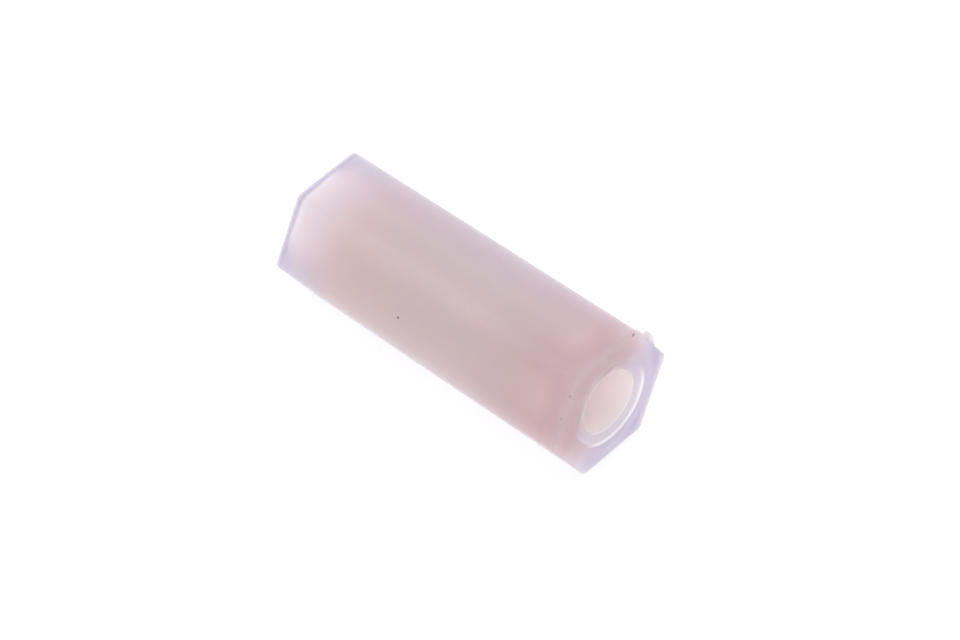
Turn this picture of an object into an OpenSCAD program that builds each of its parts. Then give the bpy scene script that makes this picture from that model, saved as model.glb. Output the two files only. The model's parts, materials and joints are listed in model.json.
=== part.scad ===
// Hex standoff lying on one flat, its bore along X.
// The larger end, which carries the gate remnant, is at +X. The lowest edge lies at Z = 0.

/* [Body] */
// Length between the two end faces
body_len = 16; // [15.5:0.1:30]
// Width across flats at the gate end, the larger one
gate_af = 6; // [5.95:0.01:6.6]
// Width across flats at the far end, the smaller one
far_af = 5.84; // [5.5:0.01:5.9]
// Radius of the six long corners
corner_r = 0.36; // [0.2:0.02:0.6]

/* [Bore] */
// Inside diameter of the thread, which runs right through between the lead-ins
thread_d = 2.5; // [2.4:0.02:2.6]
// Diameter of the plain lead-in at each mouth
lead_d = 2.95; // [2.7:0.05:3.2]
// Depth of the plain lead-in below the end face
lead_depth = 1.8; // [0.5:0.1:2]

/* [End recess] */
// Diameter of the shallow recess round each mouth, at the end face
recess_d = 4.2; // [3.8:0.1:4.6]
// Diameter of the recess where its sloping wall meets its floor
floor_d = 3.95; // [3.4:0.05:4.1]
// Depth of the recess
recess_depth = 0.1; // [0.05:0.01:0.2]
// Width and depth of the bevel where the floor meets the lead-in
rim = 0.06; // [0.02:0.01:0.12]

/* [Gate remnant] */
// Width of the remnant, across the bar
gate_w = 0.85; // [0.4:0.05:1]
// Length of the remnant, along the bar
gate_len = 0.45; // [0.3:0.05:0.8]
// Height of the remnant above its flat
gate_h = 0.3; // [0.1:0.05:0.4]
// Distance of the remnant's middle below the middle of its flat
gate_shift = 0.2; // [-0.6:0.1:0.6]

/* [Hidden] */
$fn = 64;

half_len = body_len / 2;
mid_af = (gate_af + far_af) / 2;
axis_z = gate_af / 2;
// Each flat leans in towards the far end by this angle.
draft = atan((gate_af - far_af) / 2 / body_len);
// Any length that reaches well past the bar.
past = 2 * body_len;
// The corner rods would stand this far proud of the flats, which trims them at a clean edge.
trim = 0.002;

// Distance from the bar's axis to a corner rod's centre line, for a width across flats.
function rod_centre(af) = (af / 2 - corner_r / cos(draft) + trim) / cos(30);
rod_lean = atan((rod_centre(gate_af) - rod_centre(far_af)) / body_len);
rod_mid = rod_centre(mid_af);

// All that lies below a plane at this height, leaning up towards +X.
module below(height, lean) {
    translate([0, 0, height])
        rotate([0, -lean, 0])
            translate([-past, -past, -2 * past])
                cube(2 * past);
}

// Endless tapered hexagon, with its first face turned from the top by first_turn.
module tapered_hex(first_turn, face_height, lean) {
    intersection_for(turn = [0:60:300])
        rotate([first_turn + turn, 0, 0])
            below(face_height, lean);
}

// The six round corners, each a rod along one corner of the hexagon.
module corner_rods() {
    for (turn = [30:60:330])
        rotate([turn, 0, 0])
            translate([0, 0, rod_mid])
                rotate([0, 90 - rod_lean, 0])
                    cylinder(h = 2 * past, r = corner_r, center = true);
}

// Bar between the end faces: six drafted flats with round corners.
module hex_bar() {
    intersection() {
        translate([-half_len, -past, -past])
            cube([body_len, 2 * past, 2 * past]);
        tapered_hex(0, mid_af / 2, draft);
        union() {
            tapered_hex(30, rod_mid + corner_r * cos(30), rod_lean);
            corner_rods();
        }
    }
}

// Everything taken out at one mouth, with the end face at X = 0 and the bar towards -X.
module mouth() {
    over = 1;
    rotate([0, -90, 0])
        rotate_extrude()
            polygon([
                [0, -over],
                [recess_d / 2, -over],
                [recess_d / 2, 0],
                [floor_d / 2, recess_depth],
                [lead_d / 2 + rim, recess_depth],
                [lead_d / 2, recess_depth + rim],
                [lead_d / 2, lead_depth],
                [0, lead_depth]
            ]);
}

// Broken stub of the gate, on the upper back flat, flush with the gate end.
module gate_remnant() {
    rotate([-60, 0, 0])
        translate([half_len - gate_len, gate_shift - gate_w / 2, mid_af / 2])
            cube([gate_len, gate_w, (gate_af - mid_af) / 2 + gate_h]);
}

// The standoff, moulded in one piece in milky natural nylon.
module standoff() {
    color([0.82, 0.73, 0.74])
        translate([0, 0, axis_z])
            difference() {
                union() {
                    hex_bar();
                    gate_remnant();
                }
                translate([half_len, 0, 0])
                    mouth();
                translate([-half_len, 0, 0])
                    mirror([1, 0, 0])
                        mouth();
                rotate([0, 90, 0])
                    cylinder(h = body_len, d = thread_d, center = true);
            }
}

standoff();
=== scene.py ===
import json
from math import cos, pi, radians, sin, sqrt, tan

import bmesh
import bpy
from mathutils import Matrix, Vector


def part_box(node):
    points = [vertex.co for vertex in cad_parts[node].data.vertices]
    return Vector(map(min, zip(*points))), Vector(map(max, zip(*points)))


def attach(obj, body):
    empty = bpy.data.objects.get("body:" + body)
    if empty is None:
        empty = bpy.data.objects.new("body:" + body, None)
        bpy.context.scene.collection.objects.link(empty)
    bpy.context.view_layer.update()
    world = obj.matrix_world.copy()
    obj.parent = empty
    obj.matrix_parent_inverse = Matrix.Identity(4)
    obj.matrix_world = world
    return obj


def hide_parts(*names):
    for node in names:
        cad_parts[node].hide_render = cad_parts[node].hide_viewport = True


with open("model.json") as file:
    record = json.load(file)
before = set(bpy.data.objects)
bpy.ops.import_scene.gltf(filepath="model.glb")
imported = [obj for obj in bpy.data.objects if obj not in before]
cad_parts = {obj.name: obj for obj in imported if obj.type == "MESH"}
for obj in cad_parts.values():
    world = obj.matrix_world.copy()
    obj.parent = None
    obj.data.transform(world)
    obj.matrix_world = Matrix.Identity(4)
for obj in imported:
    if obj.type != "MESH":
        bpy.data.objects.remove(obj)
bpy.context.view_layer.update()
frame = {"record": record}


# The moulded bar: a hexagon with softly rounded long corners, lying on one flat. The mould is widest
# at the gate end and narrows a little towards the far end, so that the bar draws out of it. The
# outline of each end face is rounded slightly, the gate end's a little more.
MM = 0.001
ALONG_X = Matrix.Rotation(pi / 2, 4, "Y")

low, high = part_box("standoff")
half_length = (high.x - low.x) / 2
gate_flats = high.z - low.z
axis_height = low.z + gate_flats / 2
draft = radians(0.2865)
narrowing = 1 - 4 * half_length * tan(draft) / gate_flats
corner_radius = 0.36 * MM
gate_edge_radius = 0.08 * MM
far_edge_radius = 0.05 * MM


def make_object(name, bm):
    """A scene object from a finished bmesh, its place in its mesh."""
    mesh = bpy.data.meshes.new(name)
    bm.to_mesh(mesh)
    bm.free()
    made = bpy.data.objects.new(name, mesh)
    bpy.context.scene.collection.objects.link(made)
    return made


def cap_edges(bm, x):
    """The outline edges of the flat face at this x."""
    cap = next(f for f in bm.faces if all(abs(v.co.x - x) < 1e-7 for v in f.verts))
    return list(cap.edges)


bar = bmesh.new()
bmesh.ops.create_circle(bar, cap_ends=True, segments=6, radius=gate_flats / sqrt(3))
bmesh.ops.bevel(bar, geom=bar.verts[:], offset=corner_radius * tan(radians(30)), segments=8,
                profile=0.5, affect="VERTICES", material=-1)
bmesh.ops.translate(bar, verts=bar.verts, vec=(0, 0, half_length))
far_cap = bmesh.ops.extrude_face_region(bar, geom=bar.faces[:])
far_verts = [v for v in far_cap["geom"] if isinstance(v, bmesh.types.BMVert)]
bmesh.ops.scale(bar, verts=far_verts, vec=(narrowing, narrowing, -1))
bmesh.ops.transform(bar, verts=bar.verts, matrix=ALONG_X)
bmesh.ops.recalc_face_normals(bar, faces=bar.faces)
bmesh.ops.bevel(bar, geom=cap_edges(bar, half_length), offset=gate_edge_radius, segments=4,
                profile=0.5, affect="EDGES", material=-1)
bmesh.ops.bevel(bar, geom=cap_edges(bar, -half_length), offset=far_edge_radius, segments=3,
                profile=0.5, affect="EDGES", material=-1)
bmesh.ops.translate(bar, verts=bar.verts, vec=(0, 0, axis_height))
standoff = make_object("standoff_moulding", bar)


# What is left of the gate, where the nylon was fed in: a stub about a millimetre wide at its foot, on
# the upper back flat at the gate end. It was torn off, so its top is narrower and leans. A low burr of
# flash runs from near the bar's corner into the stub.
flat_height = gate_flats / 2
to_gate_flat = Matrix.Translation((0, 0, axis_height)) @ Matrix.Rotation(radians(-60), 4, "X")


def combine(target, tool, operation):
    """Joins the tool onto the target, or cuts it out of it, and removes the tool."""
    step = target.modifiers.new("combine", "BOOLEAN")
    step.operation = operation
    step.solver = "EXACT"
    step.object = tool
    result = bpy.data.meshes.new_from_object(target.evaluated_get(bpy.context.evaluated_depsgraph_get()))
    target.modifiers.clear()
    target.data = result
    bpy.data.objects.remove(tool)


stub_size = (0.45 * MM, 1.1 * MM, 0.37 * MM)
stub_middle = (half_length - 0.227 * MM, 0.11 * MM, flat_height + 0.115 * MM)
stub_round = 0.06 * MM
torn_narrowing = (0.55, 0.4, 1)
torn_lean = (-0.02 * MM, -0.14 * MM, 0)
stub = bmesh.new()
bmesh.ops.create_cube(stub, size=1)
bmesh.ops.scale(stub, verts=stub.verts, vec=stub_size)
torn = [v for v in stub.verts if v.co.z > 0]
bmesh.ops.scale(stub, verts=torn, vec=torn_narrowing)
bmesh.ops.translate(stub, verts=torn, vec=torn_lean)
bmesh.ops.bevel(stub, geom=stub.edges[:], offset=stub_round, segments=3, profile=0.5,
                affect="EDGES", material=-1)
bmesh.ops.translate(stub, verts=stub.verts, vec=stub_middle)
bmesh.ops.transform(stub, verts=stub.verts, matrix=to_gate_flat)
combine(standoff, make_object("gate_stub", stub), "UNION")

burr_radius = 0.14 * MM
burr_stretch = (1.1, 4.2, 1.0)
burr_middle = (half_length - 0.16 * MM, -0.87 * MM, flat_height - 0.06 * MM)
burr = bmesh.new()
bmesh.ops.create_icosphere(burr, subdivisions=3, radius=burr_radius)
bmesh.ops.scale(burr, verts=burr.verts, vec=burr_stretch)
bmesh.ops.translate(burr, verts=burr.verts, vec=burr_middle)
bmesh.ops.transform(burr, verts=burr.verts, matrix=to_gate_flat)
combine(standoff, make_object("corner_burr", burr), "UNION")


# The hole, left by two core pins that meet inside the bar. Each leaves a shallow dished recess at its
# end face and a plain lead-in, and between the lead-ins runs the M3 by 0.5 thread, formed by an
# unscrewing pin.
gate_thread = next(m for m in frame["record"]["mounts"] if m["name"] == "thread_gate_end")
thread_radius = gate_thread["dims"]["r_mm"] * MM
thread_length = gate_thread["dims"]["length_mm"] * MM
thread_outer_radius = 1.465 * MM
pitch = 0.5 * MM
groove_flat = pitch / 8
groove_overlap = 0.1 * MM
past_thread = pitch / 10
lead_radius = 1.475 * MM
recess_radius = 2.1 * MM
recess_floor_radius = 1.95 * MM
recess_depth = 0.1 * MM
recess_fillet = 0.05 * MM
mouth_bevel = 0.06 * MM
bevel_middle = 0.3 * mouth_bevel
past_face = 0.5 * MM
turn_steps = 48
spare_turns = 4


def spun(bm, outline, turns=1, rise=0.0, steps=96):
    """Spins an outline of (x, radius) about the X axis, rising along it for a thread."""
    points = [bm.verts.new((x, 0, r)) for x, r in outline]
    edges = [bm.edges.new(pair) for pair in zip(points, points[1:])]
    bmesh.ops.spin(bm, geom=points + edges, cent=(0, 0, 0), axis=(1, 0, 0), dvec=(rise / steps, 0, 0),
                   angle=2 * pi * turns, steps=steps * turns, use_merge=rise == 0,
                   use_duplicate=False)
    bmesh.ops.remove_doubles(bm, verts=bm.verts, dist=1e-7)


pins = bmesh.new()
mouth_outline = [
    (half_length + past_face, 0),
    (half_length + past_face, recess_radius),
    (half_length, recess_radius),
    (half_length - recess_depth + recess_fillet, recess_floor_radius),
    (half_length - recess_depth, recess_floor_radius - recess_fillet),
    (half_length - recess_depth, lead_radius + mouth_bevel),
    (half_length - recess_depth - bevel_middle, lead_radius + bevel_middle),
    (half_length - recess_depth - mouth_bevel, lead_radius),
    (thread_length / 2, lead_radius),
    (thread_length / 2, thread_radius),
]
spun(pins, mouth_outline + [(-x, r) for x, r in reversed(mouth_outline)])
bmesh.ops.translate(pins, verts=pins.verts, vec=(0, 0, axis_height))
bmesh.ops.recalc_face_normals(pins, faces=pins.faces)
combine(standoff, make_object("core_pins", pins), "DIFFERENCE")

# The unscrewing pin starts as a longer screw and is cut off just past the thread's ends, inside the
# wider lead-ins.
screw = bmesh.new()
groove = [
    (0, thread_radius - groove_overlap),
    ((pitch - groove_flat) / 2, thread_outer_radius),
    ((pitch + groove_flat) / 2, thread_outer_radius),
    (pitch, thread_radius - groove_overlap),
]
turns = round(thread_length / pitch) + spare_turns
spun(screw, groove, turns, pitch, turn_steps)
bmesh.ops.translate(screw, verts=screw.verts, vec=(-turns * pitch / 2, 0, 0))
for side in (-1, 1):
    cut = bmesh.ops.bisect_plane(screw, geom=screw.verts[:] + screw.edges[:] + screw.faces[:],
                                 plane_co=(side * (thread_length / 2 + past_thread), 0, 0),
                                 plane_no=(side, 0, 0), clear_outer=True)
    open_end = [e for e in cut["geom_cut"] if isinstance(e, bmesh.types.BMEdge)]
    bmesh.ops.holes_fill(screw, edges=open_end, sides=0)
bmesh.ops.translate(screw, verts=screw.verts, vec=(0, 0, axis_height))
bmesh.ops.recalc_face_normals(screw, faces=screw.faces)
combine(standoff, make_object("unscrewing_pin", screw), "DIFFERENCE")

# Smooth shading across the rounds, with true flats and sharp edges at the mouths and the thread.
standoff.data.shade_smooth()
standoff.data.set_sharp_from_angle(angle=radians(32))
weighted = standoff.modifiers.new("even_flats", "WEIGHTED_NORMAL")
weighted.keep_sharp = True
weighted.weight = 100

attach(standoff, "root")
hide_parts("standoff")


# Natural nylon 6/6, uncoloured, as moulded: milky and translucent, with a satin skin. Light soaks in
# and spreads a few millimetres before it comes out. Over this, light and shade are painted into the
# colour by place: warm and pinkish on the front and top, which the light from behind reaches through
# the whole bar, and pale lavender at the back and the edges.
def linear(hex_colour):
    """Linear RGBA from an sRGB hex colour."""
    channels = [int(hex_colour[i:i + 2], 16) / 255 for i in (0, 2, 4)]
    return [c / 12.92 if c <= 0.04045 else ((c + 0.055) / 1.055) ** 2.4 for c in channels] + [1]


def add_node(material, kind, links=None, **settings):
    """Adds a node. Settings are its properties and links its inputs: a value or another's output."""
    node = material.node_tree.nodes.new(kind)
    for name, value in settings.items():
        setattr(node, name, value)
    for key, source in (links or {}).items():
        if isinstance(source, bpy.types.NodeSocket):
            material.node_tree.links.new(source, node.inputs[key])
        else:
            node.inputs[key].default_value = source
    return node


nylon = bpy.data.materials.new("natural_nylon_with_painted_light")
nylon.use_nodes = True
nylon.node_tree.nodes.clear()
place = add_node(nylon, "ShaderNodeTexCoord")
to_mm = 1 / MM
in_mm = add_node(nylon, "ShaderNodeMapping", {
    "Vector": place.outputs["Object"], "Location": (0, 0, -axis_height * to_mm),
    "Scale": (to_mm, to_mm, to_mm)})


def paint(under, over, *fades, strength=1.0):
    """Lays an sRGB colour over another where all the fades overlap. A fade is a distance, where it
    starts and where it is full, and how much shows before the start unless that is nothing."""
    cover = strength
    for distance, start, full, *before in fades:
        fade = add_node(nylon, "ShaderNodeMapRange", {
            "Value": distance, "From Min": start, "From Max": full,
            "To Min": before[0] if before else 0.0}, interpolation_type="SMOOTHSTEP")
        cover = add_node(nylon, "ShaderNodeMath", {
            0: cover, 1: fade.outputs["Result"]}, operation="MULTIPLY").outputs["Value"]
    return add_node(nylon, "ShaderNodeMix", {
        "Factor": cover, "A": under, "B": linear(over)}, data_type="RGBA").outputs["Result"]


# Distances in millimetres: out from the bore's axis in several directions and all round it, and in
# from the two end faces.
directions = {
    "front and top": (0, -sqrt(0.5), sqrt(0.5)),
    "upper front corner": (0, -0.5, sqrt(0.75)),
    "front corner": (0, -1, 0),
    "lower back flat": (0, sqrt(0.75), -0.5),
    "upper back flat": (0, sqrt(0.75), 0.5),
    "underside": (0, 0.26, -0.97),
    "far end, slanting": (-1, -0.06, 0.104),
}
towards = {}
for name, direction in directions.items():
    measured = add_node(nylon, "ShaderNodeVectorMath", {
        0: in_mm.outputs["Vector"], 1: direction}, operation="DOT_PRODUCT")
    towards[name] = measured.outputs["Value"]
across = add_node(nylon, "ShaderNodeVectorMath", {
    0: in_mm.outputs["Vector"], 1: (0, 1, 1)}, operation="MULTIPLY")
from_axis = add_node(nylon, "ShaderNodeVectorMath", {
    0: across.outputs["Vector"]}, operation="LENGTH").outputs["Value"]
half_mm = half_length * to_mm
x = add_node(nylon, "ShaderNodeSeparateXYZ", {"Vector": in_mm.outputs["Vector"]}).outputs["X"]
from_middle = add_node(nylon, "ShaderNodeMath", {0: x}, operation="ABSOLUTE").outputs["Value"]
from_end = add_node(nylon, "ShaderNodeMath", {
    0: half_mm, 1: from_middle}, operation="SUBTRACT").outputs["Value"]
from_gate_end = add_node(nylon, "ShaderNodeMath", {
    0: half_mm, 1: x}, operation="SUBTRACT").outputs["Value"]
from_far_end = add_node(nylon, "ShaderNodeMath", {
    0: half_mm, 1: x}, operation="ADD").outputs["Value"]

# Painted light and shade over the whole bar, from lavender at the back and below to pink at the front
# and top.
painted_shade_across = add_node(nylon, "ShaderNodeMapRange", {
    "Value": towards["front and top"], "From Min": -3.5, "From Max": 3.5})
painted_shade_ramp = add_node(nylon, "ShaderNodeValToRGB", {"Fac": painted_shade_across.outputs["Result"]})
painted_shade_tones = [
    (0.25, "B4B4CC"), (0.5, "C6BAC8"), (0.66, "CCBEC8"),
    (0.8, "E4CCD0"), (0.9, "E2C6C8"), (0.97, "E2C4C6"),
]
for _ in painted_shade_tones[2:]:
    painted_shade_ramp.color_ramp.elements.new(0.5)
for element, (position, tone) in zip(painted_shade_ramp.color_ramp.elements, painted_shade_tones):
    element.position = position
    element.color = linear(tone)
# Painted light: paler towards the front corner.
colour = paint(painted_shade_ramp.outputs["Color"], "D2BEC0", (towards["front corner"], 2.5, 3.4))

# Painted shade: the front and top darken in steps towards the gate end.
colour = paint(colour, "C6AEB3", (from_gate_end, 7.0, 0.5), (towards["front and top"], 0.0, 2.2),
               (from_axis, 2.95, 3.3, 0.45))
colour = paint(colour, "BFA8AE", (from_gate_end, 1.5, 0.4), (towards["front and top"], -0.2, 1.2))
colour = paint(colour, "C4B0B7", (from_gate_end, 1.8, 0.7), (towards["front and top"], 1.9, 1.1),
               (towards["front and top"], 0.0, 0.7))
colour = paint(colour, "B8A1A7", (from_gate_end, 0.6, 0.15), (towards["front and top"], 0.8, 2.2))

# Painted shade: each end face, and the floor of its recess, is darker towards the upper front corner.
colour = paint(colour, "B8A0A7", (from_end, 0.12, 0.0), (towards["upper front corner"], -0.4, 2.2))
colour = paint(colour, "ACA0A6", (from_end, 0.2, 0.12), (towards["upper front corner"], -0.2, 1.8),
               (from_axis, 2.05, 1.9))

# Painted shade: the back and underside near the gate end, and the lower back flat near both ends, turn a
# darker lavender.
colour = paint(colour, "8E90AE", (from_gate_end, 1.0, 0.1), (from_axis, 2.4, 3.05),
               (towards["front and top"], 0.2, -1.8))
colour = paint(colour, "8C90AE", (towards["lower back flat"], 2.1, 2.85), (from_end, 1.0, 0.1))
colour = paint(colour, "5A5E80", (towards["lower back flat"], 2.6, 2.97), (from_end, 0.4, 0.1))

# Round the far end, light and shade are painted on the outside: painted shade, cool at the outline, with
# a painted highlight band and a painted glow next to it on the upper front. None of this reaches the end
# face or the hole.
outside = [(from_far_end, 0.0, 0.03), (from_axis, 2.3, 2.6)]
colour = paint(colour, "BCBDCC", (from_far_end, 3.5, 0.9), *outside,
               (towards["upper front corner"], 3.0, 1.9))
colour = paint(colour, "ACACC4", (from_far_end, 1.0, 0.5), *outside)
colour = paint(colour, "667698", (from_far_end, 0.45, 0.08), *outside,
               (towards["upper front corner"], 1.0, 1.9, 0.25))
colour = paint(colour, "E1D2DA", (from_far_end, 3.5, 1.2), (from_far_end, 0.3, 0.7),
               (towards["upper front corner"], 1.7, 2.75))
colour = paint(colour, "DDD3E3", (towards["far end, slanting"], half_mm - 0.45, half_mm - 0.2),
               (towards["far end, slanting"], half_mm + 0.14, half_mm - 0.08),
               (towards["upper front corner"], 2.1, 2.7), *outside)

# Each recess has a painted pale floor and a painted highlight on its sloping wall on its lower side. The
# hole's bevel has a painted highlight below and painted shade above, and the hole has a painted warm
# glow inside.
colour = paint(colour, "D4CCDC", (from_axis, 2.02, 1.94), (from_end, 0.2, 0.12),
               (towards["underside"], -0.8, 1.2))
colour = paint(colour, "FFFAFF", (from_axis, 1.94, 2.0), (from_axis, 2.13, 2.09), (from_end, 0.12, 0.1),
               (towards["upper front corner"], -0.3, -1.6))
colour = paint(colour, "F8ECF4", (from_axis, 1.58, 1.54), (from_end, 0.2, 0.17),
               (towards["upper front corner"], 0.2, -1.0))
colour = paint(colour, "FFE6E7", (from_axis, 1.5, 1.475))
colour = paint(colour, "8A7E84", (from_end, 0.2, 0.14), (towards["upper front corner"], 1.0, 1.5),
               (from_axis, 1.95, 1.6), (from_axis, 1.47, 1.485))

# Painted shade on the gate's stub, toned down because so thin a piece lets most of the light through.
colour = paint(colour, "C0AEBE", (towards["upper back flat"], 3.0, 3.06))

# Specks of dirt, two dark and the rest faint. Each has its place, measured from the bore's middle, its
# radius and how dark it is.
specks = [
    ((-1.24, -2.82, 1.02), 0.045, 1.0),
    ((7.98, 1.6, 2.78), 0.085, 0.8),
    ((7.95, -2.18, 2.2), 0.05, 0.4),
    ((0.12, -2.65, 1.34), 0.03, 0.25),
    ((7.9, -2.74, 1.26), 0.05, 0.25),
    ((0.94, 1.13, 2.96), 0.03, 0.25),
]
for speck_place, radius, darkness in specks:
    from_speck = add_node(nylon, "ShaderNodeVectorMath", {
        0: in_mm.outputs["Vector"], 1: speck_place}, operation="DISTANCE").outputs["Value"]
    colour = paint(colour, "4A3C44", (from_speck, radius * 1.6, radius * 0.5), strength=darkness)

# The mould's satin is finer than this, and is drawn as a grain of about 0.1 mm so that it shows.
grains_per_mm = 9.0
grain = add_node(nylon, "ShaderNodeTexNoise", {
    "Vector": in_mm.outputs["Vector"], "Scale": grains_per_mm, "Detail": 3.0})
satin = add_node(nylon, "ShaderNodeBump", {
    "Height": grain.outputs["Fac"], "Strength": 0.25, "Distance": 0.01 * MM})
surface = add_node(nylon, "ShaderNodeBsdfPrincipled", {
    "Base Color": colour,
    "Normal": satin.outputs["Normal"],
    "Roughness": 0.35,
    "IOR": 1.53,
    "Subsurface Weight": 1.0,
    "Subsurface Radius": (7, 5, 5),
    "Subsurface Scale": MM,
}, subsurface_method="RANDOM_WALK")
add_node(nylon, "ShaderNodeOutputMaterial", {"Surface": surface.outputs["BSDF"]})
standoff.data.materials.clear()
standoff.data.materials.append(nylon)


# The studio: a seamless floor of white paper that glows a little, as on a light table, and a white
# surround that is brightest low down beyond the far end. A broad cool softbox stands behind the bar.
floor_bm = bmesh.new()
bmesh.ops.create_grid(floor_bm, x_segments=1, y_segments=1, size=2)
floor = make_object("studio_floor", floor_bm)

paper = bpy.data.materials.new("white_paper")
paper.use_nodes = True
paper.node_tree.nodes.clear()
paper_surface = add_node(paper, "ShaderNodeBsdfPrincipled", {
    "Base Color": linear("C8C8C8"), "Roughness": 0.9, "Specular IOR Level": 0.2,
    "Emission Color": (1, 1, 1, 1), "Emission Strength": 0.65})
add_node(paper, "ShaderNodeOutputMaterial", {"Surface": paper_surface.outputs["BSDF"]})
floor.data.materials.append(paper)

world = bpy.data.worlds.new("white_surround")
world.use_nodes = True
world.node_tree.nodes.clear()
seen_way = add_node(world, "ShaderNodeTexCoord")
upwards = add_node(world, "ShaderNodeVectorMath", {
    0: seen_way.outputs["Generated"], 1: (0, 0, 1)}, operation="DOT_PRODUCT")
sideways = add_node(world, "ShaderNodeVectorMath", {
    0: seen_way.outputs["Generated"], 1: (0.9, -0.43, 0)}, operation="DOT_PRODUCT")
by_height = add_node(world, "ShaderNodeMapRange", {
    "Value": upwards.outputs["Value"], "From Min": 0.0, "From Max": 1.0,
    "To Min": 0.93, "To Max": 0.73})
by_side = add_node(world, "ShaderNodeMapRange", {
    "Value": sideways.outputs["Value"], "From Min": -1.0, "From Max": 1.0,
    "To Min": 1.2, "To Max": 0.4})
strength = add_node(world, "ShaderNodeMath", {
    0: by_height.outputs["Result"], 1: by_side.outputs["Result"]}, operation="MULTIPLY")
surround = add_node(world, "ShaderNodeBackground", {
    "Color": (1, 1, 1, 1), "Strength": strength.outputs["Value"]})
add_node(world, "ShaderNodeOutputWorld", {"Surface": surround.outputs["Background"]})
bpy.context.scene.world = world


def hang_softbox(name, size, energy, colour, location):
    """A square soft light, aimed at the middle of the floor."""
    light = bpy.data.lights.new(name, "AREA")
    light.shape = "SQUARE"
    light.size = size
    light.energy = energy
    light.color = colour
    hung = bpy.data.objects.new(name, light)
    hung.location = location
    hung.rotation_euler = (-hung.location).to_track_quat("-Z", "Y").to_euler()
    bpy.context.scene.collection.objects.link(hung)


hang_softbox("back_softbox", size=0.25, energy=0.3, colour=(0.9, 0.92, 1.0),
             location=Vector((-0.05, 0.3, 0.2)))
bpy.context.scene.view_settings.view_transform = "Standard"


# The camera looks down on the gate end and the top flat, from 231 mm away, turned a little about its
# own line of sight. A small softbox hangs behind it, half a metre from the bar.
azimuth, elevation, roll = radians(46.95), radians(47.04), radians(4.93)
distance = 230.9 * MM
lens = 207.8
aim_right, aim_up = 0.50 * MM, -0.40 * MM

back = Vector((sin(azimuth) * cos(elevation), -cos(azimuth) * cos(elevation), sin(elevation)))
level_right = Vector((cos(azimuth), sin(azimuth), 0))
level_up = back.cross(level_right)
right = level_right * cos(roll) - level_up * sin(roll)
up = back.cross(right)
front_softbox_distance = 0.5
hang_softbox("front_softbox", size=0.12, energy=0.35, colour=(1, 1, 1),
             location=back * front_softbox_distance)

view = bpy.data.cameras.new("studio_camera")
view.lens = lens
view.sensor_width = 36
view.clip_start = 0.01
view.clip_end = 10
camera = bpy.data.objects.new("studio_camera", view)
middle = Vector((0, 0, axis_height))
turn = Matrix((right, up, back)).transposed().to_4x4()
stand = middle + right * aim_right + up * aim_up + back * distance
camera.matrix_world = Matrix.Translation(stand) @ turn
bpy.context.scene.collection.objects.link(camera)
bpy.context.scene.camera = camera
